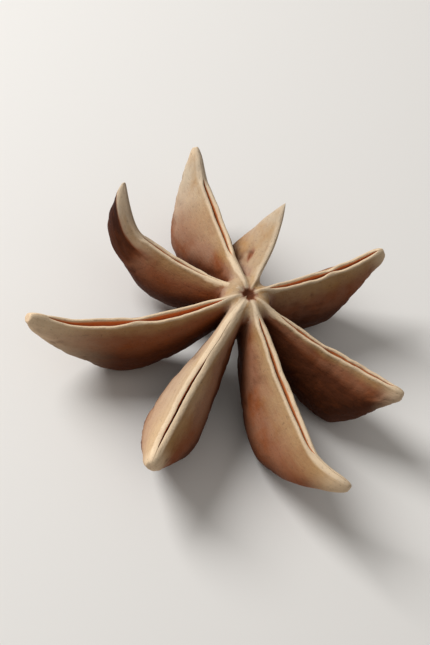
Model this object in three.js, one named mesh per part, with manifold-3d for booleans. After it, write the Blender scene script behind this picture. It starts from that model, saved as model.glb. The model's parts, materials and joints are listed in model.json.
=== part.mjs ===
// Star anise pod: one dried fruit of eight boat-shaped carpels fused round a short column.
// Each carpel is narrow and tall, open along its upper seam, with a rounded keel below and a
// blunt, upturned beak at its end. Millimetres, +Z up; the fruit lies on its keels at z = 0.

import * as THREE from 'three';
import { mergeVertices } from 'three/addons/utils/BufferGeometryUtils.js';
import Module from 'manifold-3d';

const wasm = await Module();
wasm.setup();

// Driving dimensions, in millimetres and degrees.
const SEAM_HEIGHT = 8.0; // the seams meet at this height over the keels
const ROOT = 0.7; // distance from the axis at which the carpels' lengths are measured
const INNER_END = 0.25; // where their solids begin
const LIP = 0.29; // thickness of a valve at the open seam
const RIDGE = 0.34; // half width of the rounded ridge where the seam is shut
const GROOVE_DEPTH = 1.6; // how far down the open seam is cut at most
const SEALED_GROOVE = 0.07; // width and depth of the seam where it stays shut
const ROOT_GIRTH = 1.6;
const BEAK_DEPTH = 1.7;
const BEAK_GIRTH = 1.35;
const DIMPLE_DEPTH = 0.65; // how far the ridges dive in the middle of the star
const DIMPLE_WALL = [0.15, 1.1]; // where they do so, from the axis outwards
const FOOT_FLAT = 0.15; // how much of the lowest keels is worn flat

// Shares of a carpel's length, depth or width.
const BEAK_FROM = 0.74;
const NOSE_FROM = [0.93, 0.8]; // where the end of a blunt and of a pointed beak begins
const NOSE_FALL = [0.5, 0.85]; // exponents of their outlines
const NOSE_PIVOT = [0.4, 0.15]; // heights round which they close
const NOSE_END = 0.3; // size of the flat at the very end
const ROOT_DEPTH = 0.62;
const SAG_LEAD = 0.75; // moves the deepest sag of a seam outwards from its middle
const WIDEST_AT = 0.55;
const WALL_STEEPNESS = [1.0, 1.12]; // exponents under a shut seam and under open lips
const GROOVE_STEEPNESS = 2.8; // how much deeper than wide the open seam is at most
const LEAN_FROM = 0.3; // where the keel leans fully

// One row for each carpel: its heading from +X, reach from the axis, depth and girth of its
// belly and where that comes, lean of its keel, gape of its seam and where it is open, drop,
// sag and sideways bow of the seam, rise and sideways sway of the beak, and, where they aren't
// the usual, the breadth of its ridge and of its beak's end and how pointed that is.
const CARPELS = [
  { heading: -91, reach: 19.3, depth: 6.75, girth: 4.8, belly: 0.66, lean: 7, gape: 0.16,
    slit: [0.37, 0.92], drop: -1.6, sag: 0.7, bow: -0.4, hook: 0.7, sway: 0, brow: 1.9, tip: 1.2 },
  { heading: -43.5, reach: 19.3, depth: 6.96, girth: 4.6, belly: 0.6, lean: -6, gape: 0.32,
    slit: [0.1, 0.8], drop: -1.3, sag: 0.7, bow: 0, hook: 0.6, sway: 2.1, brow: 1.4 },
  { heading: -3, reach: 15.9, depth: 7.05, girth: 4.2, belly: 0.68, lean: -10, gape: 0.26,
    slit: [0.18, 0.93], drop: -0.9, sag: 0.9, bow: 0, hook: 0.4, sway: 0 },
  { heading: 53, reach: 14.1, depth: 7.22, girth: 3.9, belly: 0.56, lean: -4, gape: 0.33,
    slit: [0.12, 0.95], drop: -0.5, sag: 0.9, bow: -0.2, hook: 0.5, sway: 0 },
  { heading: 95, reach: 10.4, depth: 4.6, girth: 2.2, belly: 0.5, lean: 40, gape: 0,
    slit: [0.3, 0.8], drop: -0.4, sag: 0.4, bow: -0.4, hook: 0.3, sway: 0, brow: 0.9, tip: 0.7,
    point: 1 },
  { heading: 134, reach: 14.7, depth: 7.45, girth: 4.7, belly: 0.58, lean: 4, gape: 0.27,
    slit: [0.25, 0.8], drop: -0.4, sag: 0.7, bow: 0, hook: 1.1, sway: 0, brow: 1.3, tip: 0.9,
    point: 0.3 },
  { heading: 178, reach: 13.7, depth: 5.6, girth: 3.2, belly: 0.52, lean: 4, gape: 0.12,
    slit: [0.25, 0.75], drop: -0.6, sag: 1.3, bow: 0, hook: 3.7, sway: -1.0, tip: 1.15,
    point: 0.7 },
  { heading: 220, reach: 19.8, depth: 6.72, girth: 4.0, belly: 0.5, lean: 2, gape: 0.5,
    slit: [0.1, 0.92], drop: -1.6, sag: 0.8, bow: 1.0, hook: 1.5, sway: 0, tip: 1.1 },
];
const USUAL = { brow: 1, tip: 1, point: 0 };

// Faces round a carpel and along it. From the middle of the seam a half ring has the bottom of
// the groove, the lip's inner edge, the lip and then the wall, down to the keel at RING / 2.
const RING = 24;
const LIP_FROM = 1;
const WALL_FROM = 4;
const STATIONS = 21;
const NOSE_STATIONS = 4;

const { clamp, degToRad, lerp, smoothstep } = THREE.MathUtils;

const between = ([blunt, pointed], carpel) => lerp(blunt, pointed, carpel.point);

// The seam line of a carpel lying along +X, at share t of its length.
function seamPoint(carpel, t) {
  const beak = clamp((t - BEAK_FROM) / (1 - BEAK_FROM), 0, 1) ** 2;
  const out = lerp(ROOT, carpel.reach, t);
  const run = clamp(t, 0, 1);
  const sag = carpel.sag * Math.sin(Math.PI * run ** SAG_LEAD);
  const dive = DIMPLE_DEPTH * (1 - smoothstep(out, ...DIMPLE_WALL));
  return new THREE.Vector3(
    out,
    carpel.bow * Math.sin(Math.PI * run) + carpel.sway * beak,
    SEAM_HEIGHT + carpel.drop * t - sag + carpel.hook * beak - dive,
  );
}

// Directions across and down a carpel's section, square to its seam and leaning with its keel.
function sectionFrame(carpel, t) {
  const step = 0.01;
  const from = Math.max(t, 0) - step;
  const along = seamPoint(carpel, from + 2 * step).sub(seamPoint(carpel, from));
  if (t < 0.08) along.z = 0; // the dimple doesn't tilt the roots
  along.normalize();
  const side = new THREE.Vector3(0, 0, 1).cross(along).normalize();
  const down = side.clone().cross(along);
  const lean = degToRad(carpel.lean) * smoothstep(t, 0, LEAN_FROM);
  side.applyAxisAngle(along, lean);
  down.applyAxisAngle(along, lean);
  return { side, down };
}

// A size that swells from the root to the belly and falls off to the beak.
function swell(carpel, t, root, belly, beak) {
  if (t < carpel.belly) return lerp(root, belly, smoothstep(t, 0, carpel.belly));
  return lerp(belly, beak, smoothstep(t, carpel.belly, 1));
}

// The rounding of the beak's end: 1 behind it, NOSE_END at the very end.
function nose(carpel, t) {
  const from = between(NOSE_FROM, carpel);
  const run = clamp((t - from) / (1 - from), 0, 1);
  return Math.max(NOSE_END, (1 - run ** 2) ** between(NOSE_FALL, carpel));
}

// How far the seam stands open at t, from 0 where it is shut to 1 in the middle.
function opening(carpel, t) {
  const [from, to] = carpel.slit;
  const run = clamp((t - from) / (to - from), 0, 1);
  return carpel.gape === 0 ? 0 : Math.sin(Math.PI * run) ** 0.6;
}

// Half the width of a section at share q of its depth, as a share of its greatest.
function fullness(q, parted) {
  if (q < WIDEST_AT) {
    return Math.sin((Math.PI / 2) * (q / WIDEST_AT)) ** lerp(...WALL_STEEPNESS, parted);
  }
  return Math.sqrt(1 - ((q - WIDEST_AT) / (1 - WIDEST_AT)) ** 2);
}

// A point of half the section at t: how far across it is and how far below the seam.
function sectionPoint(carpel, t, step) {
  const depth = swell(carpel, t, ROOT_DEPTH * carpel.depth, carpel.depth, BEAK_DEPTH * carpel.tip);
  const girth = swell(carpel, t, ROOT_GIRTH, carpel.girth, BEAK_GIRTH * carpel.tip);
  const open = opening(carpel, t);
  const parted = smoothstep(open, 0, 0.6);
  const slit = (SEALED_GROOVE + carpel.gape * open) / 2;
  const lip = Math.min(lerp(RIDGE, LIP, parted) * carpel.brow, 0.42 * girth);
  const crest = lerp(0.8, 0.5, parted) * lip;
  if (step === 0) {
    const sealed = SEALED_GROOVE * smoothstep(t, 0.08, 0.25);
    const cut = lerp(sealed, Math.min(GROOVE_DEPTH, GROOVE_STEEPNESS * carpel.gape), open);
    return { across: 0, below: crest * parted + cut };
  }
  if (step <= WALL_FROM) {
    const out = (step - LIP_FROM) / (WALL_FROM - LIP_FROM);
    const bead = Math.sqrt(1 - (2 * out - 1) ** 2);
    const ridge = 1 - out ** 2;
    return { across: slit + lip * out, below: crest * (1 - lerp(ridge, bead, parted)) };
  }
  const q = Math.sin((Math.PI / 2) * (step - WALL_FROM) / (RING / 2 - WALL_FROM));
  const start = q < WIDEST_AT ? slit + lip : 0;
  return { across: lerp(start, girth / 2, fullness(q, parted)), below: lerp(crest, depth, q) };
}

// The share of a carpel's length at a station; they lie closer in the beak's end.
function stationShare(carpel, station) {
  const body = STATIONS - NOSE_STATIONS;
  const noseFrom = between(NOSE_FROM, carpel);
  const first = (INNER_END - ROOT) / (carpel.reach - ROOT);
  if (station <= body) return lerp(first, noseFrom, station / body);
  return lerp(noseFrom, 1, Math.sin((Math.PI / 2) * (station - body) / NOSE_STATIONS));
}

// The carpel as a closed cylinder that is drawn out into the boat shape.
function carpelGeometry(row) {
  const carpel = { ...USUAL, ...row };
  const tube = new THREE.CylinderGeometry(1, 1, 1, RING, STATIONS);
  const position = tube.getAttribute('position');
  const corner = new THREE.Vector3();
  for (let i = 0; i < position.count; i += 1) {
    corner.fromBufferAttribute(position, i);
    const t = stationShare(carpel, Math.round((corner.y + 0.5) * STATIONS));
    const onAxis = Math.hypot(corner.x, corner.z) < 0.5;
    const turn = Math.round((Math.atan2(corner.x, corner.z) / (2 * Math.PI)) * RING);
    const { side, down } = sectionFrame(carpel, t);
    const place = sectionPoint(carpel, t, onAxis ? RING / 2 : Math.abs(turn));
    const size = nose(carpel, t);
    const below = (onAxis ? 0.5 : 1) * place.below; // the middle of a carpel's flat end
    const across = (onAxis ? 0 : -Math.sign(turn)) * place.across;
    const spot = seamPoint(carpel, t)
      .addScaledVector(side, across * size)
      .addScaledVector(down, lerp(between(NOSE_PIVOT, carpel) * BEAK_DEPTH * carpel.tip, below, size));
    position.setXYZ(i, spot.x, spot.y, spot.z);
  }
  return tube.rotateZ(degToRad(carpel.heading));
}

// The short column that the carpels grow from: dimpled on top, with a round stalk scar below.
function columnGeometry() {
  const top = SEAM_HEIGHT;
  const outline = [
    [0, top - 0.8],
    [0.4, top - 0.66],
    [0.85, top - 0.46],
    [1.2, top - 0.42],
    [1.6, top - 0.52],
    [2.0, top - 0.85],
    [2.25, top - 1.4],
    [2.35, top - 2.2],
    [2.3, top - 3.2],
    [1.85, 3.2],
    [1.7, 2.6],
    [1.45, 1.92],
    [1.2, 1.95],
    [0, 2.1],
  ];
  const profile = outline.map(([r, z]) => new THREE.Vector2(r, z)).reverse();
  return new THREE.LatheGeometry(profile, 24).rotateX(Math.PI / 2);
}

function toSolid(geometry) {
  geometry.deleteAttribute('normal');
  geometry.deleteAttribute('uv');
  const merged = mergeVertices(geometry, 1e-4);
  return new wasm.Manifold(new wasm.Mesh({
    numProp: 3,
    vertProperties: new Float32Array(merged.getAttribute('position').array),
    triVerts: new Uint32Array(merged.index.array),
  }));
}

function toGeometry(solid) {
  const mesh = solid.getMesh();
  const geometry = new THREE.BufferGeometry();
  geometry.setAttribute('position', new THREE.BufferAttribute(mesh.vertProperties, 3));
  geometry.setIndex(new THREE.BufferAttribute(mesh.triVerts, 1));
  return geometry;
}

// The lowest keels are worn flat, so that the fruit lies still.
function wearFeet(solid) {
  const slab = 10;
  const lowest = solid.boundingBox().min[2];
  const ground = new THREE.BoxGeometry(100, 100, slab);
  ground.translate(0, 0, lowest + FOOT_FLAT - slab / 2);
  return solid.subtract(toSolid(ground));
}

// The outer shell alone, which fills sealed pockets between the carpels.
function fillPockets(solid) {
  return solid.decompose().find((shell) => shell.volume() > 0);
}

let fruit = toSolid(columnGeometry());
for (const carpel of CARPELS) fruit = fruit.add(toSolid(carpelGeometry(carpel)));
const pod = toGeometry(wearFeet(fillPockets(fruit)));

// The origin stands under the middle of the fruit, on the ground it lies on.
pod.computeBoundingBox();
const middle = pod.boundingBox.getCenter(new THREE.Vector3());
pod.translate(-middle.x, -middle.y, -pod.boundingBox.min.z);

const husk = new THREE.MeshStandardMaterial({ color: 0xa98d6c, roughness: 0.72, metalness: 0 });
const mesh = new THREE.Mesh(pod, husk);
mesh.name = 'pod';

const starAnise = new THREE.Group();
starAnise.add(mesh);

export default starAnise;
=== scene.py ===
"""Star anise pod: a dried fruit of eight woody, boat-shaped carpels on a short column.

The file is laid out as an add-on. Run as a script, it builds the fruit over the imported
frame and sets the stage.
"""

import json
import math
from itertools import accumulate
from typing import NamedTuple

import bmesh
import bpy
from mathutils import Matrix, Vector, noise

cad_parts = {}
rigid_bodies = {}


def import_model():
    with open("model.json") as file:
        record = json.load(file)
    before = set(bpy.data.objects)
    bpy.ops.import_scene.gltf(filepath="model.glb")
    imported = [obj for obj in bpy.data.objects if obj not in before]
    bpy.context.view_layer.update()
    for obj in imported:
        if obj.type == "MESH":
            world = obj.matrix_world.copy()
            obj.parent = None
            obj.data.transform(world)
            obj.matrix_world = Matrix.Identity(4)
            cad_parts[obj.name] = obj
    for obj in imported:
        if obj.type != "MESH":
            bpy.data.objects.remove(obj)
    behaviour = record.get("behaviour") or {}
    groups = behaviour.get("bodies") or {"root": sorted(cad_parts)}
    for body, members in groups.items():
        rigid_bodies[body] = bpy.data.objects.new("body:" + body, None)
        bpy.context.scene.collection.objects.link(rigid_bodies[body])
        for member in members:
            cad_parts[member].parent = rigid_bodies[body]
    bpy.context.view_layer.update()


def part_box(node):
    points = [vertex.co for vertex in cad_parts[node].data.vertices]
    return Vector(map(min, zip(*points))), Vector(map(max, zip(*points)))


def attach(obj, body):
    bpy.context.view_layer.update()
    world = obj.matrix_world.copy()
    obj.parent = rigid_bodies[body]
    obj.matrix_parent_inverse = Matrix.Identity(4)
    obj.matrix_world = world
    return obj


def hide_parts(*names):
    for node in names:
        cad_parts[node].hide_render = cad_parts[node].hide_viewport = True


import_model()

bl_info = {
    "name": "Star Anise Pod",
    "version": (1, 0, 0),
    "blender": (4, 5, 0),
    "location": "3D View > Sidebar > Star Anise",
    "description": "Builds a dried star anise fruit and a plain stage for it",
    "category": "Add Mesh",
}

MM = 0.001
UP = Vector((0, 0, 1))


class Carpel(NamedTuple):
    """One arm of the star. Lengths are in millimetres and angles in degrees."""

    heading: float  # from +X
    reach: float  # from the axis to the end of the beak
    depth: float  # of the belly, from seam to keel
    girth: float
    belly: float  # where the carpel is fullest, as a share of its length
    lean: float  # how far the keel swings to the side
    gape: float  # how wide the seam stands open
    drop: float  # fall of the seam towards its end
    sag: float  # how far the seam dips on the way
    bow: float  # sideways bow of the seam
    hook: float  # rise of the beak
    sway: float  # sideways turn of the beak
    slit: tuple  # where the seam is open, as shares of the length
    pinch: float = -1.0  # where the open lips touch again
    crinkle: float = 1.0  # unevenness of the lips
    brow: float = 1.0  # breadth of the shut seam's ridge, as a share of the usual
    bead: float = 1.0  # how rounded the open lips are, down to 0 where the walls just end
    tip: float = 1.0  # size of the beak's end, as a share of the usual
    point: float = 0.0  # how pointed the beak is, up to 1
    bloom: tuple = (0.15, 0.15)  # grey bloom on the husk, at the root and at the beak
    pale_and_lit: int = 0  # the side whose wall is painted paler than the other, as painted light, 1 or -1
    fair: float = 0.84  # where the beak begins to be pale, as a share of the length
    shade: float = 0.0  # painted shade: how much darker its walls are painted than usual, or below 0 paler as painted light
    root_shade: float = 2.2  # painted shade at the root: how many times sooner the wall darkens there
    flank_shade: float = 0.0  # painted shade on the flanks of the beak: how dark they are, up to 1
    scar: tuple = ()  # a dark dent: distances from the axis and below the seam, and its radius


CARPELS = (
    Carpel(heading=-91, reach=19.3, depth=6.75, girth=4.8, belly=0.66, lean=7,
           gape=0.16, drop=-1.6, sag=0.7, bow=-0.4, hook=0.7, sway=0, slit=(0.37, 0.92), crinkle=0.7,
           brow=1.9, bead=0.2, tip=1.2, bloom=(0.3, 0.0), pale_and_lit=-1, shade=0.8, root_shade=1.0),
    Carpel(heading=-43.5, reach=19.3, depth=6.96, girth=4.6, belly=0.6, lean=-6,
           gape=0.32, drop=-1.3, sag=0.7, bow=0, hook=0.6, sway=2.1, slit=(0.1, 0.8),
           brow=1.4, bloom=(0.2, 0.1), shade=0.12, root_shade=1.4),
    Carpel(heading=-3, reach=15.9, depth=7.05, girth=4.2, belly=0.68, lean=-10,
           gape=0.26, drop=-0.9, sag=0.9, bow=0, hook=0.4, sway=0, slit=(0.18, 0.93), crinkle=1.8,
           shade=2.8, root_shade=1.2),
    Carpel(heading=53, reach=14.1, depth=7.22, girth=3.9, belly=0.56, lean=-4,
           gape=0.33, drop=-0.5, sag=0.9, bow=-0.2, hook=0.5, sway=0, slit=(0.12, 0.95), pinch=0.6,
           crinkle=1.2, shade=0.6, root_shade=0.5),
    Carpel(heading=95, reach=10.4, depth=4.6, girth=2.2, belly=0.5, lean=40,
           gape=0, drop=-0.4, sag=0.4, bow=-0.4, hook=0.3, sway=0, slit=(0.3, 0.8),
           brow=0.9, tip=0.7, point=1.0, bloom=(0.5, 0.9), shade=-0.7, scar=(4.3, 1.5, 0.2)),
    Carpel(heading=134, reach=14.7, depth=7.45, girth=4.7, belly=0.58, lean=4,
           gape=0.27, drop=-0.4, sag=0.7, bow=0, hook=1.1, sway=0, slit=(0.25, 0.8),
           brow=1.3, tip=0.9, point=0.3, bloom=(0.3, 1.0), shade=-0.1, root_shade=3.0),
    Carpel(heading=178, reach=13.7, depth=5.6, girth=3.2, belly=0.52, lean=4,
           gape=0.12, drop=-0.6, sag=1.3, bow=0, hook=3.7, sway=-1.0, slit=(0.25, 0.75),
           tip=1.15, point=0.7, bloom=(0.1, 1.0), shade=0.3, root_shade=1.3, flank_shade=0.85),
    Carpel(heading=220, reach=19.8, depth=6.72, girth=4.0, belly=0.5, lean=2,
           gape=0.5, drop=-1.6, sag=0.8, bow=1.0, hook=1.5, sway=0, slit=(0.1, 0.92), pinch=0.5,
           tip=1.1, bloom=(0.1, 0.0), fair=0.55, shade=1.0, root_shade=1.2),
)
LENGTHS = ("reach", "depth", "girth", "gape", "drop", "sag", "bow", "hook", "sway")


def clamp(value, low=0.0, high=1.0):
    return max(low, min(high, value))


def lerp(a, b, share):
    return a + (b - a) * share


def smooth(value, start=0.0, end=1.0):
    """0 up to start, 1 from end on and a smooth rise between them."""
    share = clamp((value - start) / (end - start))
    return share * share * (3 - 2 * share)


def in_metres(carpel):
    """The carpel with its lengths in metres."""
    lengths = {name: getattr(carpel, name) * MM for name in LENGTHS}
    return carpel._replace(**lengths, scar=tuple(size * MM for size in carpel.scar))


def srgb(*parts):
    """A colour that is given as it shows on a screen, 0 to 255, in linear numbers."""
    return tuple(((part / 255 + 0.055) / 1.055) ** 2.4 for part in parts)


# ---------------------------------------------------------------------------- settings


class FruitSettings(bpy.types.PropertyGroup):
    """Sizes of the fruit that all its carpels share."""

    seam_height: bpy.props.FloatProperty(
        name="Seam Height", description="Height of the seams where they meet",
        default=8.0 * MM, unit="LENGTH", subtype="DISTANCE", precision=4)
    root: bpy.props.FloatProperty(
        name="Root", description="Distance from the axis at which the carpels' lengths are measured",
        default=0.7 * MM, unit="LENGTH", subtype="DISTANCE", precision=5)
    lip: bpy.props.FloatProperty(
        name="Lip", description="Thickness of a valve at the open seam",
        default=0.29 * MM, unit="LENGTH", subtype="DISTANCE", precision=5)
    ridge: bpy.props.FloatProperty(
        name="Ridge", description="Half width of the rounded ridge where the seam is shut",
        default=0.34 * MM, unit="LENGTH", subtype="DISTANCE", precision=5)
    groove_depth: bpy.props.FloatProperty(
        name="Groove Depth", description="Depth of the open seam",
        default=1.6 * MM, unit="LENGTH", subtype="DISTANCE", precision=5)
    crease: bpy.props.FloatProperty(
        name="Crease", description="Depth of the fine crease where the seam is shut",
        default=0.1 * MM, unit="LENGTH", subtype="DISTANCE", precision=5)
    root_girth: bpy.props.FloatProperty(
        name="Root Girth", description="Width of a carpel where it grows from the column",
        default=1.6 * MM, unit="LENGTH", subtype="DISTANCE", precision=5)
    beak_depth: bpy.props.FloatProperty(
        name="Beak Depth", description="Height of a carpel's beak",
        default=1.7 * MM, unit="LENGTH", subtype="DISTANCE", precision=5)
    beak_girth: bpy.props.FloatProperty(
        name="Beak Girth", description="Width of a carpel's beak",
        default=1.35 * MM, unit="LENGTH", subtype="DISTANCE", precision=5)
    foot_flat: bpy.props.FloatProperty(
        name="Foot Flat", description="How much of the lowest keels is worn flat",
        default=0.15 * MM, unit="LENGTH", subtype="DISTANCE", precision=5)
    relief: bpy.props.FloatProperty(
        name="Relief", description="Strength of the husk's bumps and wrinkles",
        default=1.0, min=0.0, max=3.0, subtype="FACTOR")
    seed: bpy.props.IntProperty(
        name="Seed", description="Another number gives other bumps and wrinkles", default=3)


class HuskSettings(bpy.types.PropertyGroup):
    """Colours of the dried husk."""

    lip: bpy.props.FloatVectorProperty(
        name="Lip", description="Pale edge of the seam and the end of a beak",
        subtype="COLOR", size=3, min=0, max=1, default=srgb(222, 198, 166))
    tan: bpy.props.FloatVectorProperty(
        name="Tan", description="Upper part of the walls",
        subtype="COLOR", size=3, min=0, max=1, default=srgb(168, 130, 84))
    # The brown is partly the husk's own colour and partly painted shade on the lower walls and deep in
    # the lining.
    brown: bpy.props.FloatVectorProperty(
        name="Brown", description="Lower part of the walls and the deepest lining",
        subtype="COLOR", size=3, min=0, max=1, default=srgb(128, 65, 27))
    # The keel colour also paints the shade at the roots and low in the hub.
    keel: bpy.props.FloatVectorProperty(
        name="Keel", description="Keels, roots, furrows and the column",
        subtype="COLOR", size=3, min=0, max=1, default=srgb(76, 38, 19))
    bloom: bpy.props.FloatVectorProperty(
        name="Bloom", description="Grey bloom on the middle of the star and on some beaks",
        subtype="COLOR", size=3, min=0, max=1, default=srgb(189, 172, 149))
    lining: bpy.props.FloatVectorProperty(
        name="Lining", description="Smooth inside of the carpels",
        subtype="COLOR", size=3, min=0, max=1, default=srgb(212, 134, 80))
    # The pore colour also paints the shade on the darkest flanks.
    pore_and_shade: bpy.props.FloatVectorProperty(
        name="Pore", description="Small dark pores and the darkest flanks",
        subtype="COLOR", size=3, min=0, max=1, default=srgb(50, 27, 21))


class StageSettings(bpy.types.PropertyGroup):
    """Camera, lights and floor."""

    elevation: bpy.props.FloatProperty(
        name="Elevation", description="How steeply the camera looks down",
        default=math.radians(55), unit="ROTATION", subtype="ANGLE")
    roll: bpy.props.FloatProperty(
        name="Roll", description="Turn of the camera about its own line of sight",
        default=math.radians(29), unit="ROTATION", subtype="ANGLE")
    picture_width: bpy.props.FloatProperty(
        name="Picture Width", description="Width that the picture takes in at the fruit",
        default=37.2 * MM, unit="LENGTH", subtype="DISTANCE", precision=4)
    lens: bpy.props.FloatProperty(
        name="Lens", description="Focal length in millimetres", default=180.0, subtype="DISTANCE_CAMERA")
    key_power: bpy.props.FloatProperty(
        name="Key", description="Power of the large soft light", default=1.05, unit="POWER")
    fill_power: bpy.props.FloatProperty(
        name="Fill", description="Power of the light from the other side", default=0.04, unit="POWER")
    sky: bpy.props.FloatProperty(
        name="Sky", description="Strength of the light from all round", default=0.30, min=0.0)
    floor: bpy.props.FloatVectorProperty(
        name="Floor", description="Colour of the floor",
        subtype="COLOR", size=3, min=0, max=1, default=(0.80, 0.78, 0.75))


SETTINGS = {"star_fruit": FruitSettings, "star_husk": HuskSettings, "star_stage": StageSettings}


# ---------------------------------------------------------------------------- the form

# The form that all carpels share, as shares of a carpel's length, depth or girth.
BEAK_FROM = 0.74
NOSE_FROM = (0.93, 0.8)  # where the end of a blunt and of a pointed beak begins
NOSE_FALL = (0.5, 0.85)  # exponents of their outlines
NOSE_PIVOT = (0.4, 0.15)  # heights round which they close, as shares of the beak's depth
NOSE_END = 0.08
ROOT_DEPTH = 0.62
ROOT_LEVEL = 0.08  # up to here the sections stand upright
LEAN_FROM = 0.3  # from here the keel leans fully
SAG_LEAD = 0.75
WIDEST_AT = 0.55
WALL_STEEPNESS = (1.0, 1.12)  # exponents of the walls under a shut seam and under open lips
SHOULDER = 0.75  # the exponent under an open seam without lips

# The seam and its lips.
SLIT_BLUNTNESS = 0.6  # exponent of the open seam's outline: the less, the blunter are its ends
PINCH = (0.85, 0.07)  # how much of the opening a pinch takes, and its length as a share
PARTED_AT = 0.6  # the share of the full opening at which the lips are fully formed
WIDEST_LIP = 0.42  # as a share of the girth
CREST = (0.8, 0.5)  # height of the crest as a share of the lip's breadth, where shut and where open
CREASE_FROM = (0.08, 0.25)  # the share of the length over which the crease begins
GROOVE_STEEPNESS = 2.8  # how much deeper than wide the open seam is at most
GROOVE_TAPER = 1.6  # exponent with which the groove narrows
LINED_AT = 0.15  # the share of the full opening at which the lining shows fully
SEALED_GAP = 0.04 * MM  # what stays of the seam where it is shut
NECK = 0.015 * MM  # how far the wall draws in below an open lip
NECK_AT = (0.4 * MM, 0.28 * MM)  # how far down it does so, and how far up and down this reaches

# The dimple in the middle of the star, which the carpels' ridges dip into.
INNER_END = 0.15 * MM  # where a carpel begins, from the axis
DIMPLE_WALL = (0.15 * MM, 1.1 * MM)  # from the bottom to the rim, from the axis
DIMPLE_DEPTH = 0.65 * MM
DIMPLE_RIM = 0.42 * MM  # below the height of the seams

# Faces round a carpel and along it, and where a ring's steps leave the wall and the lip.
RING = 96
HALF_RING = RING // 2
STATIONS = 112
NOSE_STATIONS = 12
WALL_STEPS = 30
LIP_STEPS = 9
GROOVE_STEPS = HALF_RING - WALL_STEPS - LIP_STEPS
CREST_STEP = WALL_STEPS + LIP_STEPS // 2
TANGENT_STEP = 0.01  # the share of the length to either side over which the seam's slope is taken


def seam_point(sizes, carpel, t):
    """The seam line of a carpel that lies along +X, at share t of its length."""
    beak = clamp((t - BEAK_FROM) / (1 - BEAK_FROM)) ** 2
    out = lerp(sizes.root, carpel.reach, t)
    dive = DIMPLE_DEPTH * (1 - smooth(out, *DIMPLE_WALL))
    sag = carpel.sag * math.sin(math.pi * clamp(t) ** SAG_LEAD)
    return Vector((
        out,
        carpel.bow * math.sin(math.pi * clamp(t)) + carpel.sway * beak,
        sizes.seam_height + carpel.drop * t - sag + carpel.hook * beak - dive,
    ))


def section_frame(sizes, carpel, t):
    """Directions across and down a section, square to the seam and leaning with the keel."""
    start = max(t, 0.0) - TANGENT_STEP
    end = start + 2 * TANGENT_STEP
    along = seam_point(sizes, carpel, end) - seam_point(sizes, carpel, start)
    along.z = along.z if t > ROOT_LEVEL else 0.0
    along.normalize()
    side = UP.cross(along).normalized()
    down = side.cross(along)
    lean = math.radians(carpel.lean) * smooth(t, 0, LEAN_FROM)
    turn = Matrix.Rotation(lean, 3, along)
    return turn @ side, turn @ down


def swell(carpel, t, root, beak):
    """A share that grows from the root to the belly and falls off to the beak."""
    if t < carpel.belly:
        return lerp(root, 1, smooth(t, 0, carpel.belly))
    return lerp(1, beak, smooth(t, carpel.belly, 1))


def nose(carpel, t):
    """The rounding of the beak's end: 1 behind it, NOSE_END at the very end."""
    start = lerp(*NOSE_FROM, carpel.point)
    run = clamp((t - start) / (1 - start))
    return max(NOSE_END, (1 - run ** 2) ** lerp(*NOSE_FALL, carpel.point))


def opening(carpel, t):
    """How far the seam stands open at t, from 0 to 1."""
    start, end = carpel.slit
    if carpel.gape == 0 or not start < t < end:
        return 0.0
    lens = math.sin(math.pi * (t - start) / (end - start)) ** SLIT_BLUNTNESS
    strength, length = PINCH
    return lens * (1 - strength * math.exp(-(((t - carpel.pinch) / length) ** 2)))


def fullness(q, steepness):
    """Half the width of a section at share q of its depth, as a share of its greatest."""
    if q < WIDEST_AT:
        return math.sin(math.pi / 2 * q / WIDEST_AT) ** steepness
    return math.sqrt(1 - ((q - WIDEST_AT) / (1 - WIDEST_AT)) ** 2)


class Profile(NamedTuple):
    """The sizes of one section of a carpel. Its lengths are in metres."""

    depth: float
    girth: float
    slit: float  # half the width of the open seam
    lip: float  # breadth of a lip
    crest: float  # height of a lip over the top of the wall
    parted: float  # 0 where the seam is shut, 1 where the lips are fully formed
    rounding: float  # 0 for a plain edge, 1 for a round lip
    steepness: float  # exponent of the wall
    groove: float  # depth of the groove below the lips
    lined: float  # how much the lining shows, up to 1


def profile_at(sizes, carpel, t):
    """The sizes of a carpel's section at share t of its length."""
    beak_depth = sizes.beak_depth * carpel.tip / carpel.depth
    beak_girth = sizes.beak_girth * carpel.tip / carpel.girth
    girth = carpel.girth * swell(carpel, t, sizes.root_girth / carpel.girth, beak_girth)
    is_open = opening(carpel, t)
    parted = smooth(is_open, 0, PARTED_AT)
    lip = min(lerp(sizes.ridge, sizes.lip, parted) * carpel.brow, WIDEST_LIP * girth)
    shut, lipped = WALL_STEEPNESS
    open_depth = min(sizes.groove_depth, GROOVE_STEEPNESS * carpel.gape)
    return Profile(
        depth=carpel.depth * swell(carpel, t, ROOT_DEPTH, beak_depth), girth=girth,
        slit=(carpel.gape * is_open + SEALED_GAP) / 2, lip=lip, crest=lerp(*CREST, parted) * lip,
        parted=parted, rounding=parted * carpel.bead,
        steepness=lerp(shut, lerp(SHOULDER, lipped, carpel.bead), parted),
        groove=lerp(sizes.crease * smooth(t, *CREASE_FROM), open_depth, is_open),
        lined=smooth(is_open, 0, LINED_AT))


def wall_point(profile, step):
    """A point of the wall, from the keel at step 0 to the outer foot of the lip."""
    q = math.sin(math.pi / 2 * (1 - step / WALL_STEPS))
    at, reach = NECK_AT
    neck = NECK * profile.parted * math.exp(-(((q * profile.depth - at) / reach) ** 2))
    start = profile.slit + profile.lip if q < WIDEST_AT else 0.0
    across = lerp(start, profile.girth / 2, fullness(q, profile.steepness))
    return across - neck, lerp(profile.crest, profile.depth, q), 0.0


def lip_point(profile, step):
    """A point of the lip, from its outer foot over its crest."""
    share = (1 - math.cos(math.pi * step / LIP_STEPS)) / 2
    bead = math.sqrt(1 - (2 * share - 1) ** 2)
    ridge = 1 - (1 - share) ** 2
    height = profile.crest * lerp(ridge, bead, profile.rounding)
    return profile.slit + profile.lip * (1 - share), profile.crest - height, 0.0


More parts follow.
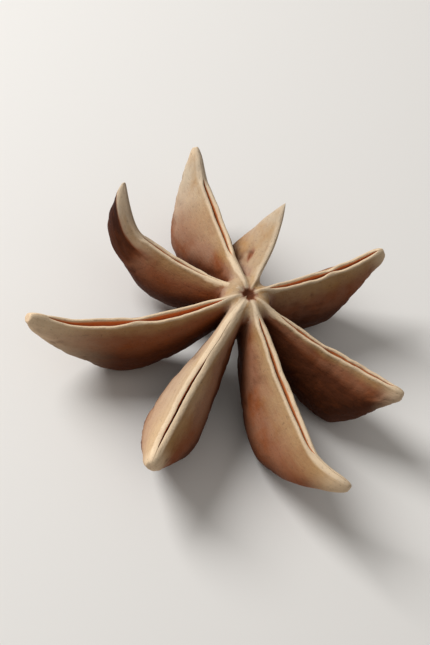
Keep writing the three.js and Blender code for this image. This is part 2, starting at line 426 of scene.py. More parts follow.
def groove_point(profile, share):
    """A point of the groove, from the lip's inner foot to the bottom."""
    top = profile.crest * profile.rounding
    bottom = profile.crest * profile.parted + profile.groove
    across = profile.slit * (1 - share ** GROOVE_TAPER)
    return across, lerp(top, bottom, share), share * profile.lined


def section(sizes, carpel, t):
    """Half a section at t as (across, below, lining) points, from the keel over the lip to the
    bottom of the groove."""
    profile = profile_at(sizes, carpel, t)
    points = [wall_point(profile, step) for step in range(WALL_STEPS)]
    points += [lip_point(profile, step) for step in range(LIP_STEPS)]
    points += [groove_point(profile, step / GROOVE_STEPS) for step in range(GROOVE_STEPS + 1)]
    size = nose(carpel, t)
    pivot = lerp(*NOSE_PIVOT, carpel.point) * (sizes.beak_depth * carpel.tip)
    return [(across * size, lerp(pivot, below, size), lining) for across, below, lining in points]


def station_share(station, first):
    """The share of a carpel's length at a station, with the stations closer in the beak's end."""
    body = STATIONS - NOSE_STATIONS
    if station <= body:
        return lerp(first, NOSE_FROM[0], station / body)
    return lerp(NOSE_FROM[0], 1, math.sin(math.pi / 2 * (station - body) / NOSE_STATIONS))


class Ring(NamedTuple):
    """A carpel's section at one station, and where it is."""

    share: float
    seam: Vector
    side: Vector
    down: Vector
    points: list
    arcs: list  # distance of each point from the keel, measured along the husk


def ring_at(sizes, carpel, t):
    """A carpel's ring at share t of its length."""
    points = section(sizes, carpel, t)
    gaps = (math.dist(a[:2], b[:2]) for a, b in zip(points, points[1:]))
    arcs = list(accumulate(gaps, initial=0.0))
    side, down = section_frame(sizes, carpel, t)
    return Ring(t, seam_point(sizes, carpel, t), side, down, points, arcs)


# ---------------------------------------------------------------------------- the husk

# Where the husk's colours begin and end, as shares of a carpel's length.
ROOT_SHADE_TO = (0.05, 0.6)  # where the painted shade of the root ends
FADING = (0.62, 1)  # where the wall grows paler towards the beak
BLOOM_TO = (0.55, 0.9)  # where the root's bloom gives way to the beak's
FLANK_SHADE_FROM = (0.5, 0.95)  # where the painted shade of a dark flank begins

# And in metres.
HEART = 1.0 * MM  # radius of the painted shade in the dimple in the middle of the star
HUB = (1.9 * MM, 3.2 * MM)  # from the axis, where the carpels' colours take over from the hub's
HUB_SHADE = (0.3 * MM, 2.2 * MM)  # where the hub's painted shade deepens below the height of the seams
HUB_EDGE = (0.8 * MM, 3.0 * MM)  # from the axis, where the ridges' pale edges begin
HUB_RIM = 0.4 * MM  # nearer in, a ridge counts as this far down the wall, so that it isn't pale
FLANK_SHADE_EDGE = (0.8 * MM, 1.15 * MM)  # where the painted shade of a dark flank begins below the crest of the lip
LIT_PALE_TO = (2 * MM, 4.5 * MM)  # where the painted light on a lit wall ends below the crest
BRIGHT_GAPE = 0.3 * MM  # a seam that stands open wider than this has less painted shade in its lining, so that it shows brighter
SCAR_DENT = 0.2 * MM  # depth of a scar
SCAR_LENGTH = 4.5  # of a scar along the carpel, as a share of its radius

# How deep or how strong they are.
FADED = 0.8  # the share of its colour depth that the wall loses towards the beak
HUB_DARKEST = 0.95  # colour depth of the painted shade low in the hub
HUB_BLOOM = 0.5
FLANK_SHADE_DEPTH = 1.8  # colour depth of the painted shade on a dark flank
LIT_PALENESS = 0.55  # paleness of the painted light on a lit wall
SCAR_DARK = 0.8  # colour depth of a scar

# Unrest of the lips: how far each kind goes, how long its waves are and its place in the noise.
SEAM_WANDER = (0.10 * MM, 2.6 * MM, 0.5)
LIP_WANDER = (0.05 * MM, 1.3 * MM, 4.5)
LIP_FRAY = (0.03 * MM, 0.5 * MM, 14.5)
LIP_RISE = (0.07 * MM, 1.5 * MM, 9.5)
UNREST_FROM = (0.05, 0.2)  # the share of the length over which it begins
UNREST_DEPTH = 1.6 * MM  # how far below the seam it reaches

# Bumps and wrinkles: the length and breadth of each kind, and its place in the noise.
BROAD_BUMP = (4.2 * MM, 3.2 * MM, 0.0)
SMALL_BUMP = (1.5 * MM, 1.2 * MM, 11.0)
WRINKLED_PATCH = (4.6 * MM, 3.4 * MM, 23.0)
WARP = (3.0 * MM, 2.4 * MM, 29.0)  # the waves that bend the wrinkles
WIDE_WRINKLE = (2.4 * MM, 1.1 * MM, 37.0)
FINE_WRINKLE = (1.1 * MM, 0.6 * MM, 53.0)
BROAD_HEIGHT = 0.14 * MM
SMALL_HEIGHT = 0.07 * MM
WARP_BY = 0.9 * MM
FURROW_DEPTH = 0.13 * MM
WRINKLE_SHARES = (0.7, 0.3)  # of the wide and the fine wrinkles
WRINKLE_NARROWNESS = (4.5, 4.0)  # the more, the smaller a share of the husk they take
PATCHES = (-0.1, 0.6)  # the noise over which the husk becomes wrinkled
DEEP_WRINKLES = 0.6  # how much more wrinkled it is at the keel
RELIEF_DOWN = (0.35 * MM, 1.5 * MM)  # where the relief begins below the crest
RELIEF_OUT = (1.2 * MM, 4 * MM)  # where it begins from the axis
NEXT_NOISE = 7.3  # from one carpel's relief to the next one's, in the noise's own units
NEXT_GRAIN = 60  # from one carpel's grain to the next one's, in millimetres


class Surface(NamedTuple):
    """What a point of the mesh knows about its place, for relief and colour."""

    grain: tuple  # metres along the carpel, across it and below its seam
    rim: float  # metres below the crest of the lip, on the outside
    deep: float  # 0 at the seam, 1 at the keel and in the shaded roots
    lining: float  # colour depth, 0 at the seam and 1 at the keel: partly the husk's own darker keel, partly painted shade, which also fills the roots and the hub
    bloom: float
    pale: float  # 1 at the beak's end and where a wall is painted pale as painted light
    furrow: float = 0.0  # 0 on even husk, 1 in the deepest wrinkles
    height: float = 0.0  # metres that bumps and wrinkles raise the husk


def surface_at(sizes, carpel, index, ring, hand, step):
    """The surface of a carpel at a step of a ring, on the side that hand gives."""
    t, out = ring.share, ring.seam.x
    rim = ring.arcs[CREST_STEP] - ring.arcs[step]
    across, below, lining = ring.points[step]
    # A wide open seam gets less painted shade in its lining.
    lining *= BRIGHT_GAPE / max(carpel.gape, BRIGHT_GAPE)
    hub = 1 - smooth(out, *HUB)
    # Painted shade on the flanks of some beaks.
    shaded_flank = FLANK_SHADE_DEPTH * carpel.flank_shade * smooth(t, *FLANK_SHADE_FROM) * smooth(rim, *FLANK_SHADE_EDGE)
    stain = scar_at(carpel, out, rim)
    # Painted shade: the wall darkens downwards, more at the root and on carpels that lie in shade.
    deep = 0.0 if lining else clamp(wall_depth(carpel, t, below / ring.points[0][1]))
    # Painted shade in the hub: dark in the dimple and deeper the lower it lies.
    deep = lerp(deep, hub_shade_depth(out, sizes.seam_height - ring.seam.z + below), hub)
    bloom = lerp(*carpel.bloom, smooth(t, *BLOOM_TO)) * (1 - clamp(max(shaded_flank, stain)))
    # Painted light: the wall on the lit side is painted paler near its crest.
    lit_pale = LIT_PALENESS * clamp(carpel.pale_and_lit * hand) * (1 - smooth(rim, *LIT_PALE_TO))
    surface = Surface(
        grain=(out, hand * across, below),
        rim=rim + HUB_RIM * (1 - smooth(out, *HUB_EDGE)),
        deep=max(deep, shaded_flank, SCAR_DARK * stain),
        lining=lining,
        bloom=lerp(bloom, HUB_BLOOM, hub),
        pale=max(smooth(t, carpel.fair, 1), lit_pale) * (1 - clamp(shaded_flank)))
    height, furrow = relief(surface, index, sizes)
    return surface._replace(furrow=furrow, height=height - SCAR_DENT * stain)


def wall_depth(carpel, t, share):
    """The colour depth of a wall, at share of the way down from the seam to the keel. It darkens
    downwards, partly in the husk's own colour and partly as painted shade, with more painted shade at the
    root and on carpels that lie in shade.
    """
    root_shade = lerp(carpel.root_shade, 1, smooth(t, *ROOT_SHADE_TO))
    fading = 1 - FADED * smooth(t, *FADING)
    return clamp(share) * (root_shade * (1 + carpel.shade) * fading)


def hub_shade_depth(out, drop):
    """The painted shade of the hub, out from the axis and drop below the height of the seams: dark in the
    dimple and deeper the lower it lies.
    """
    heart = 1 - smooth(out, 0, HEART)
    return max(heart, HUB_DARKEST * smooth(drop, *HUB_SHADE))


def scar_at(carpel, out, rim):
    """How far a point lies in the carpel's scar, from 0 to 1."""
    if not carpel.scar:
        return 0.0
    at, down, radius = carpel.scar
    return math.exp(-(((out - at) / (SCAR_LENGTH * radius)) ** 2) - ((rim - down) / radius) ** 2)


def spot_at(carpel, index, ring, hand, step):
    """Where a carpel's surface is at a step of a ring, with the unrest of its lips."""
    across, below = ring.points[step][:2]
    t, x = ring.share, ring.seam.x
    unrest = carpel.crinkle * clamp(1 - below / UNREST_DEPTH) ** 2 * smooth(t, *UNREST_FROM)
    is_open = opening(carpel, t)
    wander = flutter(SEAM_WANDER, x, index)
    wander += hand * is_open * flutter(LIP_WANDER, x, index, hand)
    wander += hand * is_open * flutter(LIP_FRAY, x, index, hand)
    rise = is_open * flutter(LIP_RISE, x, index, hand)
    return ring.seam + ring.side * (hand * across + unrest * wander) + ring.down * (below - unrest * rise)


def flutter(wave, x, index, hand=0):
    """How far a wave goes at x along a carpel. With a hand, either lip has waves of its own."""
    height, length, place = wave
    return height * noise.noise(Vector((x / length, index, place + hand)))


def relief(surface, index, sizes):
    """Height of the husk's bumps and wrinkles at a point, in metres, and how far it is a furrow."""
    x, across, below = surface.grain
    start = index * NEXT_NOISE + sizes.seed

    def bump(kind, shift=0.0):
        long, wide, place = kind
        return noise.noise(Vector((x / long + start, across / wide + place, (below + shift) / wide)))

    bumps = BROAD_HEIGHT * bump(BROAD_BUMP) + SMALL_HEIGHT * bump(SMALL_BUMP)
    patchy = smooth(bump(WRINKLED_PATCH) + DEEP_WRINKLES * surface.deep, *PATCHES)
    warp = WARP_BY * bump(WARP)
    kinds = zip((WIDE_WRINKLE, FINE_WRINKLE), WRINKLE_NARROWNESS, WRINKLE_SHARES)
    wrinkled = sum(
        share * clamp(1 - narrowness * abs(bump(kind, warp))) for kind, narrowness, share in kinds)
    strength = smooth(surface.rim, *RELIEF_DOWN) * smooth(x, *RELIEF_OUT) * sizes.relief
    furrow = patchy * wrinkled * strength
    return bumps * strength - FURROW_DEPTH * furrow, furrow


# ---------------------------------------------------------------------------- the fruit


def carpel_mesh(sizes, carpel, index):
    """One carpel as a bmesh: a closed cylinder drawn out into the boat shape."""
    bm = bmesh.new()
    bmesh.ops.create_cone(
        bm, cap_ends=True, cap_tris=True, segments=RING, radius1=1, radius2=1, depth=1)
    long_edges = [e for e in bm.edges if abs(e.verts[0].co.z - e.verts[1].co.z) > 0.5]
    bmesh.ops.subdivide_edges(bm, edges=long_edges, cuts=STATIONS - 1, use_grid_fill=False)
    first = (INNER_END - sizes.root) / (carpel.reach - sizes.root)
    rings = [ring_at(sizes, carpel, station_share(i, first)) for i in range(STATIONS + 1)]
    surfaces = {}
    for vert in bm.verts:
        ring = rings[round((vert.co.z + 0.5) * STATIONS)]
        if math.hypot(vert.co.x, vert.co.y) < 0.5:  # the middle of an end
            surfaces[vert] = surface_at(sizes, carpel, index, ring, 0, CREST_STEP)
            vert.co = ring.seam + ring.down * (ring.points[0][1] + ring.points[WALL_STEPS][1]) / 2
            continue
        turn = round(math.atan2(vert.co.y, vert.co.x) / (2 * math.pi) * RING)
        hand = math.copysign(1, turn)
        step = min(abs(turn), HALF_RING)
        surfaces[vert] = surface_at(sizes, carpel, index, ring, hand, step)
        vert.co = spot_at(carpel, index, ring, hand, step)
    bmesh.ops.rotate(
        bm, verts=bm.verts, cent=(0, 0, 0), matrix=Matrix.Rotation(math.radians(carpel.heading), 3, "Z"))
    bmesh.ops.recalc_face_normals(bm, faces=bm.faces)
    raise_relief(bm, surfaces)
    paint(bm, surfaces, index)
    return bm


def raise_relief(bm, surfaces):
    """Moves the outside of a carpel in and out along its normals."""
    bm.normal_update()
    moves = [(vert, vert.normal * surface.height) for vert, surface in surfaces.items()]
    for vert, move in moves:
        vert.co += move


def paint(bm, surfaces, index):
    """Writes each point's surface into the layers that the husk's material reads."""
    grain = bm.loops.layers.float_color.new("grain")
    edge = bm.loops.layers.uv.new("edge")
    place = bm.loops.layers.float_color.new("place")
    for face in bm.faces:
        for loop in face.loops:
            surface = surfaces[loop.vert]
            x, across, below = surface.grain
            loop[grain] = (x / MM + NEXT_GRAIN * index, across / MM, below / MM, 1.0)
            loop[edge].uv = (surface.rim / MM, surface.furrow)
            loop[place] = (surface.deep, surface.lining, surface.bloom, surface.pale)


# Outline of the column as distances from the axis and heights, in millimetres. The top runs from
# the bottom of the dimple over its rim and is measured from the height of the seams. The foot
# runs down to the shallow stalk scar and is measured from the keels.
COLUMN_TOP = (
    (0, -0.8), (0.2, -0.76), (0.4, -0.66), (0.6, -0.55), (0.85, -0.46), (1.2, -0.42),
    (1.6, -0.52), (2.0, -0.85), (2.25, -1.4), (2.35, -2.2), (2.3, -3.2),
)
COLUMN_FOOT = (
    (2.1, 4.0), (1.85, 3.2), (1.7, 2.6), (1.6, 2.15), (1.45, 1.92), (1.28, 1.9), (1.12, 2.0),
    (0.8, 2.12), (0.4, 2.05), (0, 2.1),
)
COLUMN_CUTS = 2  # that round each stretch of its outline
COLUMN_SIDES = 72
COLUMN_RIM = 2 * MM  # how far below a crest its husk counts, so that it has no pale edge
MERGE_DISTANCE = 0.001 * MM


def column_mesh(sizes):
    """The column as a bmesh: its outline spun round the axis."""
    bm = bmesh.new()
    outline = [(r, sizes.seam_height / MM + z) for r, z in COLUMN_TOP] + list(COLUMN_FOOT)
    verts = [bm.verts.new(Vector((r, 0, z)) * MM) for r, z in outline]
    edges = [bm.edges.new(pair) for pair in zip(verts, verts[1:])]
    bmesh.ops.subdivide_edges(bm, edges=edges, cuts=COLUMN_CUTS, smooth=1.0)
    bmesh.ops.spin(
        bm, geom=bm.verts[:] + bm.edges[:], cent=(0, 0, 0), axis=(0, 0, 1), angle=2 * math.pi,
        steps=COLUMN_SIDES, use_merge=True)
    bmesh.ops.remove_doubles(bm, verts=bm.verts, dist=MERGE_DISTANCE)
    bmesh.ops.recalc_face_normals(bm, faces=bm.faces)
    surfaces = {}
    for vert in bm.verts:
        out = math.hypot(vert.co.x, vert.co.y)
        # The hub's painted shade.
        deep = hub_shade_depth(out, sizes.seam_height - vert.co.z)
        surfaces[vert] = Surface(
            grain=tuple(vert.co), rim=COLUMN_RIM, deep=deep, lining=0.0, bloom=HUB_BLOOM, pale=0.0)
    paint(bm, surfaces, len(CARPELS))
    return bm


def new_object(name, bm, collection):
    """A new object from a bmesh, which is freed."""
    mesh = bpy.data.meshes.new(name)
    bm.to_mesh(mesh)
    bm.free()
    piece = bpy.data.objects.new(name, mesh)
    collection.objects.link(piece)
    return piece


def carpel_collection():
    """The collection that holds the carpels until they are fused."""
    found = bpy.data.collections.get("carpels")
    if found is None:
        found = bpy.data.collections.new("carpels")
        bpy.context.scene.collection.children.link(found)
    return found


class STARANISE_OT_carpels(bpy.types.Operator):
    """Grow the eight carpels of the star"""

    bl_idname = "star_anise.carpels"
    bl_label = "Grow Carpels"

    def execute(self, context):
        sizes = context.scene.star_fruit
        for index, row in enumerate(CARPELS):
            bm = carpel_mesh(sizes, in_metres(row), index)
            new_object(f"carpel_{index + 1}", bm, carpel_collection())
        return {"FINISHED"}


class STARANISE_OT_column(bpy.types.Operator):
    """Turn the short column that the carpels grow from"""

    bl_idname = "star_anise.column"
    bl_label = "Turn Column"

    def execute(self, context):
        new_object("star_anise", column_mesh(context.scene.star_fruit), context.scene.collection)
        return {"FINISHED"}


# The middle of the star, where the carpels melt into each other, the more the nearer the axis.
MELT_RADIUS = 3.2 * MM
MELT_ROUNDS = ((1.0, 10), (0.8, 20), (0.6, 20), (0.3, 30))  # shares of the radius, and rounds
MELT_FACTOR = 0.4


class STARANISE_OT_fuse(bpy.types.Operator):
    """Fuse the carpels and the column into one fruit, and finish its husk"""

    bl_idname = "star_anise.fuse"
    bl_label = "Fuse Fruit"

    def execute(self, context):
        sizes = context.scene.star_fruit
        fruit = bpy.data.objects["star_anise"]
        carpels = carpel_collection()
        union = fruit.modifiers.new("union", "BOOLEAN")
        union.operation = "UNION"
        union.solver = "MANIFOLD"
        union.operand_type = "COLLECTION"
        union.collection = carpels
        graph = context.evaluated_depsgraph_get()
        fused = bpy.data.meshes.new_from_object(fruit.evaluated_get(graph))
        fruit.modifiers.clear()
        for carpel in list(carpels.objects):
            bpy.data.objects.remove(carpel)
        bpy.data.collections.remove(carpels)
        bm = bmesh.new()
        bm.from_mesh(fused)
        self.drop_pockets(bm)
        self.melt(bm)
        fruit["axis"] = self.set_down(bm, sizes)
        bm.to_mesh(fused)
        bm.free()
        fused.shade_smooth()
        fused.materials.clear()
        fused.materials.append(husk_material(context.scene.star_husk))
        fruit.data = fused
        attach(fruit, "root")
        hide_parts("pod")
        return {"FINISHED"}

    def drop_pockets(self, bm):
        """Takes out the small closed pockets that the union leaves between the roots."""
        islands, seen = [], set()
        for start in bm.verts:
            if start in seen:
                continue
            island, waiting = [], [start]
            seen.add(start)
            while waiting:
                vert = waiting.pop()
                island.append(vert)
                near = [edge.other_vert(vert) for edge in vert.link_edges]
                waiting += [other for other in near if other not in seen]
                seen.update(near)
            islands.append(island)
        islands.sort(key=len)
        pockets = [vert for island in islands[:-1] for vert in island]
        bmesh.ops.delete(bm, geom=pockets, context="VERTS")

    def melt(self, bm):
        """Softens the joins in the middle of the star."""
        for share, rounds in MELT_ROUNDS:
            near = [v for v in bm.verts if math.hypot(v.co.x, v.co.y) < MELT_RADIUS * share]
            for _ in range(rounds):
                bmesh.ops.smooth_vert(
                    bm, verts=near, factor=MELT_FACTOR, use_axis_x=True, use_axis_y=True, use_axis_z=True)

    def set_down(self, bm, sizes):
        """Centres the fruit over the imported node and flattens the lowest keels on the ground."""
        low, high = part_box("pod")
        middle = (low + high) / 2
        xs = [v.co.x for v in bm.verts]
        ys = [v.co.y for v in bm.verts]
        ground = min(v.co.z for v in bm.verts) + sizes.foot_flat
        shift = Vector((middle.x - (min(xs) + max(xs)) / 2, middle.y - (min(ys) + max(ys)) / 2, -ground))
        bmesh.ops.translate(bm, verts=bm.verts, vec=shift)
        for vert in bm.verts:
            vert.co.z = max(vert.co.z, low.z)
        return shift


# ---------------------------------------------------------------------------- the finish


class Wire:
    """An output socket. Arithmetic on wires and numbers adds Math nodes."""

    def __init__(self, shader, socket):
        self.shader = shader
        self.socket = socket

    def math(self, operation, *values):
        return self.shader.node("ShaderNodeMath", {"operation": operation}, dict(enumerate(values)))

    def __add__(self, other):
        return self.math("ADD", self, other)

    def __sub__(self, other):
        return self.math("SUBTRACT", self, other)

    def __rsub__(self, other):
        return self.math("SUBTRACT", other, self)

    def __mul__(self, other):
        return self.math("MULTIPLY", self, other)

    __radd__ = __add__
    __rmul__ = __mul__

    def sibling(self, name):
        """Another output of the same node."""
        return Wire(self.shader, self.socket.node.outputs[name])

    def between(self, low, high):
        """0 at low, 1 at high and a smooth rise between them."""
        return self.shader.node(
            "ShaderNodeMapRange", {"interpolation_type": "SMOOTHSTEP"},
            {"Value": self, "From Min": low, "From Max": high})

    def over(self, other):
        """The greater of two."""
        return self.math("MAXIMUM", self, other)

    def swing(self, width):
        """Noise from 0 to 1 made to swing round 0 instead, over this width."""
        return (self - 0.5) * width


class Shader:
    """A material's node tree."""

    def __init__(self, name):
        self.material = bpy.data.materials.new(name)
        self.material.use_nodes = True
        self.tree = self.material.node_tree
        self.tree.nodes.clear()

    def node(self, kind, settings=None, values=None, output=0):
        """Adds a node, sets it up, fills its sockets and returns one of its outputs."""
        made = self.tree.nodes.new(kind)
        for name, setting in (settings or {}).items():
            setattr(made, name, setting)
        for name, value in (values or {}).items():
            if isinstance(value, Wire):
                self.tree.links.new(value.socket, made.inputs[name])
            else:
                made.inputs[name].default_value = value
        return Wire(self, made.outputs[output]) if made.outputs else None

    def mix(self, factor, first, second, blend="MIX"):
        """Mixes two colours, which are the node's sockets 6 and 7."""
        values = {0: factor, 6: self.colour(first), 7: self.colour(second)}
        settings = {"data_type": "RGBA", "blend_type": blend, "clamp_factor": True}
        return self.node("ShaderNodeMix", settings, values, output=2)

    def colour(self, value):
        return value if isinstance(value, Wire) else (*value, 1.0)

    def split(self, vector):
        """The three parts of a vector or a colour."""
        first = self.node("ShaderNodeSeparateColor", None, {0: vector})
        return [first.sibling(i) for i in range(3)]

    def stretched(self, vector, scale):
        """A vector with its parts scaled."""
        return self.node(
            "ShaderNodeVectorMath", {"operation": "MULTIPLY"}, {0: vector, 1: scale})

    def cloud(self, vector, cloud):
        """Noise from 0 to 1."""
        return self.node(
            "ShaderNodeTexNoise", {"noise_dimensions": "3D"},
            {"Vector": self.stretched(vector, cloud.frequency), "Scale": 1.0,
             "Detail": cloud.detail, "Roughness": cloud.rough})


class Cloud(NamedTuple):
    """A noise in the husk's colour. The grain that it reads is in millimetres."""

    frequency: tuple  # bumps to the millimetre along the carpel, across it and down
    detail: float = 4.0
    rough: float = 0.6


BLOTCHES = Cloud((0.30, 0.36, 0.36), rough=0.55)
MOTTLE = Cloud((1.0, 1.3, 1.3), detail=5.0)
FIBRES = Cloud((0.9, 3.6, 3.6))
SPECKLE = Cloud((4.4, 5.5, 5.5), rough=0.65)

# Where colours give way to each other by their depth, from 0 at the seam to 1 at the keel. The depth
# carries painted shade too, and the pale lip and the bloom fade where it is deep.
TAN_TO_BROWN = (0.0, 0.42)
BROWN_TO_KEEL = (0.42, 1.0)
# Past the keel's depth the wall goes over to the pore colour, mostly as painted shade on the darkest
# flanks.
KEEL_TO_DARKEST = (1.0, 1.6)
LIP_FADES = (0.25, 0.7)
BLOOM_FADES = (0.4, 0.9)
DEPTH_BLOTCHED = 0.35  # how far blotches and mottle shift the depth
DEPTH_MOTTLED = 0.2

# The pale edge of the lip, in millimetres below its crest, and how ragged its border is.
LIP_EDGE = (0.03, 0.36)
LIP_RAGGED = 0.3
BEAK_PALENESS = 0.85
PALENESS = (0.75, 0.4)  # of all that is pale, and how much more where the mottle is bright

# Between which values of its noise or mask a thing shows, and how strongly it does.
BLOOM_PATCHES = (0.25, 0.55)
FURROW_DARK, FURROW_DARK_STRENGTH = (0.15, 0.9), 0.4
FIBRE, FIBRE_STRENGTH = (0.30, 0.55), 0.15
SPECK, SPECK_STRENGTH = (0.5, 0.8), 0.3
PORE, PORE_STRENGTH = (0.25, 0.45), 0.35
LINING_EDGE = (0.0, 0.08)
LINING_SHADE = (0.15, 0.85)

# The sheen, which is stronger on the lining, and the fine relief.
SPECULAR = 0.12
ROUGHNESS = 0.66
ROUGHNESS_MOTTLED = 0.3
LINING_GLOSS, GLOSS_STRENGTH = (0.0, 0.1), 0.2
BUMP_SHARES = (0.5, 0.55, 0.45)  # of the mottle, the fibres and the speckle
BUMP_HEIGHT = 0.12 * MM
BUMP_STRENGTH = 0.7


def husk_material(colours):
    """The dry husk: pale at the lips and beaks, tan walls, darker and redder keels, and painted shade
    that darkens the lower walls, the roots and the hub.
    """
    shader = Shader("husk")
    grain = shader.node("ShaderNodeAttribute", {"attribute_name": "grain"})
    rim, furrow = shader.split(shader.node("ShaderNodeUVMap", {"uv_map": "edge"}))[:2]
    place = shader.node("ShaderNodeAttribute", {"attribute_name": "place"})
    deep, lining, bloom = shader.split(place)
    # Paleness of the beaks, and painted light that makes a lit wall pale.
    pale_and_lit = place.sibling("Alpha")

    blotches = shader.cloud(grain, BLOTCHES)
    mottle = shader.cloud(grain, MOTTLE)
    fibres = shader.cloud(grain, FIBRES)
    speckle = shader.cloud(grain, SPECKLE)

    # The wall's colours by their depth, with uneven borders: darker downwards, partly the husk's own
    # colour and partly painted shade.
    depth = deep + blotches.swing(DEPTH_BLOTCHED) + mottle.swing(DEPTH_MOTTLED)
    wall = shader.mix(depth.between(*TAN_TO_BROWN), colours.tan, colours.brown)
    wall = shader.mix(depth.between(*BROWN_TO_KEEL), wall, colours.keel)
    wall = shader.mix(depth.between(*KEEL_TO_DARKEST), wall, colours.pore_and_shade)

    # Pale lips and beaks, walls painted pale as painted light, and grey bloom in patches.
    edge = 1 - (rim + mottle.swing(LIP_RAGGED)).between(*LIP_EDGE)
    pale = (edge * (1 - deep.between(*LIP_FADES))).over(pale_and_lit * BEAK_PALENESS)
    wall = shader.mix(pale * (PALENESS[0] + mottle * PALENESS[1]), wall, colours.lip)
    grey = bloom * (1 - deep.between(*BLOOM_FADES)) * blotches.between(*BLOOM_PATCHES)
    wall = shader.mix(grey, wall, colours.bloom)

    # Darker furrows, fibres, fine bright specks and pores.
    wall = shader.mix(furrow.between(*FURROW_DARK) * FURROW_DARK_STRENGTH, wall, colours.keel)
    wall = shader.mix((1 - fibres.between(*FIBRE)) * FIBRE_STRENGTH, wall, colours.brown)
    wall = shader.mix(speckle.between(*SPECK) * SPECK_STRENGTH, wall, colours.lip, "SOFT_LIGHT")
    wall = shader.mix((1 - speckle.between(*PORE)) * PORE_STRENGTH, wall, colours.pore_and_shade, "MULTIPLY")

    # The lining is painted browner towards the bottom of the groove, as painted shade.
    inside = shader.mix(lining.between(*LINING_SHADE), colours.lining, colours.brown)
    colour = shader.mix(lining.between(*LINING_EDGE), wall, inside)

    height = mottle * BUMP_SHARES[0] + fibres * BUMP_SHARES[1] + speckle * BUMP_SHARES[2]
    bump = shader.node(
        "ShaderNodeBump", None,
        {"Strength": BUMP_STRENGTH, "Distance": BUMP_HEIGHT, "Height": height})
    gloss = lining.between(*LINING_GLOSS) * GLOSS_STRENGTH
    roughness = ROUGHNESS + mottle.swing(ROUGHNESS_MOTTLED) - gloss
    surface = shader.node(
        "ShaderNodeBsdfPrincipled", None,
        {"Base Color": colour, "Roughness": roughness, "Normal": bump, "Specular IOR Level": SPECULAR})
    shader.node("ShaderNodeOutputMaterial", None, {"Surface": surface})
    return shader.material


# ---------------------------------------------------------------------------- the stage

PICTURE_SIZE = (430, 645)
SENSOR = 36.0  # width in millimetres
# The middle of the picture, right of and above the middle of the star, in the picture's plane.
AIM_RIGHT = -2.9 * MM
AIM_UP = -2.43 * MM
CLIPPING = (0.1, 20)  # nearest and farthest that is seen, as shares of the camera's distance
FLOOR_HALF = 1.5  # half the floor's width, in metres
FLOOR_CELLS = 4
FLOOR_ROUGHNESS = 0.9
SKY_COLOUR = (1.0, 0.97, 0.93, 1.0)


class Lamp(NamedTuple):
    """A round soft light. Its lengths are in metres."""

    name: str
    heading: tuple  # parts to the right, up and towards the camera, as the picture lies
    distance: float
    size: float


KEY = Lamp("key", (-0.51, 0.74, 0.44), 0.3, 0.16)
FILL = Lamp("fill", (0.8, -0.1, 0.6), 0.35, 0.3)


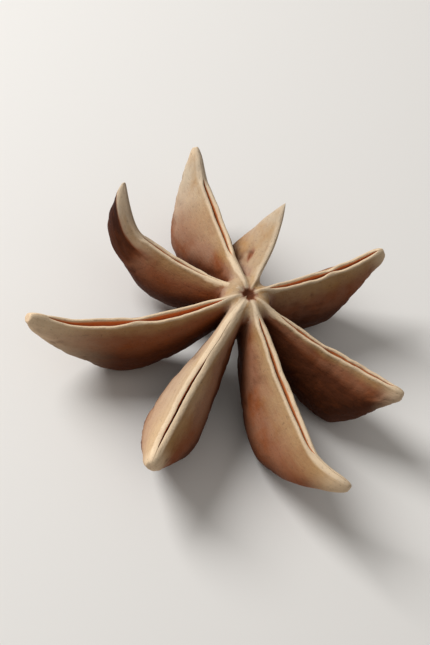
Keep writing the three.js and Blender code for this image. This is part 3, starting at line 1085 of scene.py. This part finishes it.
class STARANISE_OT_stage(bpy.types.Operator):
    """Set up the floor, the lights and the camera"""

    bl_idname = "star_anise.stage"
    bl_label = "Set Stage"

    def execute(self, context):
        stage = context.scene.star_stage
        axes = self.picture_axes(stage)
        target = self.star_middle(context) + axes[0] * AIM_RIGHT + axes[1] * AIM_UP
        self.add_camera(context, stage, target, axes)
        self.add_light(context, KEY, stage.key_power, target, axes)
        self.add_light(context, FILL, stage.fill_power, target, axes)
        self.add_floor(context, stage)
        self.add_sky(context, stage)
        context.scene.view_settings.view_transform = "Standard"
        return {"FINISHED"}

    def picture_axes(self, stage):
        """The picture's directions right, up and towards the camera."""
        back = Vector((0, -math.cos(stage.elevation), math.sin(stage.elevation)))
        right = Vector((1, 0, 0))
        up = back.cross(right)
        turn = Matrix.Rotation(stage.roll, 3, back)
        return turn @ right, turn @ up, back

    def star_middle(self, context):
        """The rim of the dimple, over the column."""
        fruit = bpy.data.objects["star_anise"]
        across, along = fruit["axis"][:2]
        return Vector((across, along, context.scene.star_fruit.seam_height - DIMPLE_RIM))

    def add_camera(self, context, stage, target, axes):
        data = bpy.data.cameras.new("camera")
        data.lens = stage.lens
        data.sensor_width = SENSOR
        width, height = PICTURE_SIZE
        distance = stage.lens / SENSOR * stage.picture_width * height / width
        camera = bpy.data.objects.new("camera", data)
        data.clip_start, data.clip_end = (distance * share for share in CLIPPING)
        camera.matrix_world = self.looking(target + axes[2] * distance, axes)
        context.scene.collection.objects.link(camera)
        context.scene.camera = camera

    def looking(self, place, axes):
        turn = Matrix(axes).transposed().to_4x4()
        return Matrix.Translation(place) @ turn

    def add_light(self, context, lamp, power, target, axes):
        data = bpy.data.lights.new(lamp.name, "AREA")
        data.shape = "DISK"
        data.size = lamp.size
        data.energy = power
        light = bpy.data.objects.new(lamp.name, data)
        towards = sum((axis * part for axis, part in zip(axes, lamp.heading)), Vector()).normalized()
        light.location = target + towards * lamp.distance
        light.rotation_euler = towards.to_track_quat("Z", "Y").to_euler()
        context.scene.collection.objects.link(light)

    def add_floor(self, context, stage):
        bm = bmesh.new()
        bmesh.ops.create_grid(bm, x_segments=FLOOR_CELLS, y_segments=FLOOR_CELLS, size=FLOOR_HALF)
        floor = new_object("floor", bm, context.scene.collection)
        shader = Shader("floor")
        surface = shader.node(
            "ShaderNodeBsdfPrincipled", None,
            {"Base Color": (*stage.floor, 1.0), "Roughness": FLOOR_ROUGHNESS})
        shader.node("ShaderNodeOutputMaterial", None, {"Surface": surface})
        floor.data.materials.append(shader.material)

    def add_sky(self, context, stage):
        world = bpy.data.worlds.new("sky")
        world.use_nodes = True
        background = world.node_tree.nodes["Background"]
        background.inputs["Color"].default_value = SKY_COLOUR
        background.inputs["Strength"].default_value = stage.sky
        context.scene.world = world


class STARANISE_PT_panel(bpy.types.Panel):
    """The fruit's settings and its operators"""

    bl_label = "Star Anise"
    bl_idname = "STARANISE_PT_panel"
    bl_space_type = "VIEW_3D"
    bl_region_type = "UI"
    bl_category = "Star Anise"

    def draw(self, context):
        for group_name, group in SETTINGS.items():
            box = self.layout.box()
            for name in group.__annotations__:
                box.prop(getattr(context.scene, group_name), name)
        for operator in OPERATORS:
            self.layout.operator(operator.bl_idname)


OPERATORS = (STARANISE_OT_carpels, STARANISE_OT_column, STARANISE_OT_fuse, STARANISE_OT_stage)
CLASSES = (*SETTINGS.values(), *OPERATORS, STARANISE_PT_panel)


def register():
    for item in CLASSES:
        bpy.utils.register_class(item)
    for name, group in SETTINGS.items():
        setattr(bpy.types.Scene, name, bpy.props.PointerProperty(type=group))


def unregister():
    for name in SETTINGS:
        delattr(bpy.types.Scene, name)
    for item in reversed(CLASSES):
        bpy.utils.unregister_class(item)


def main():
    register()
    bpy.ops.star_anise.carpels()
    bpy.ops.star_anise.column()
    bpy.ops.star_anise.fuse()
    bpy.ops.star_anise.stage()


if __name__ == "__main__":
    main()
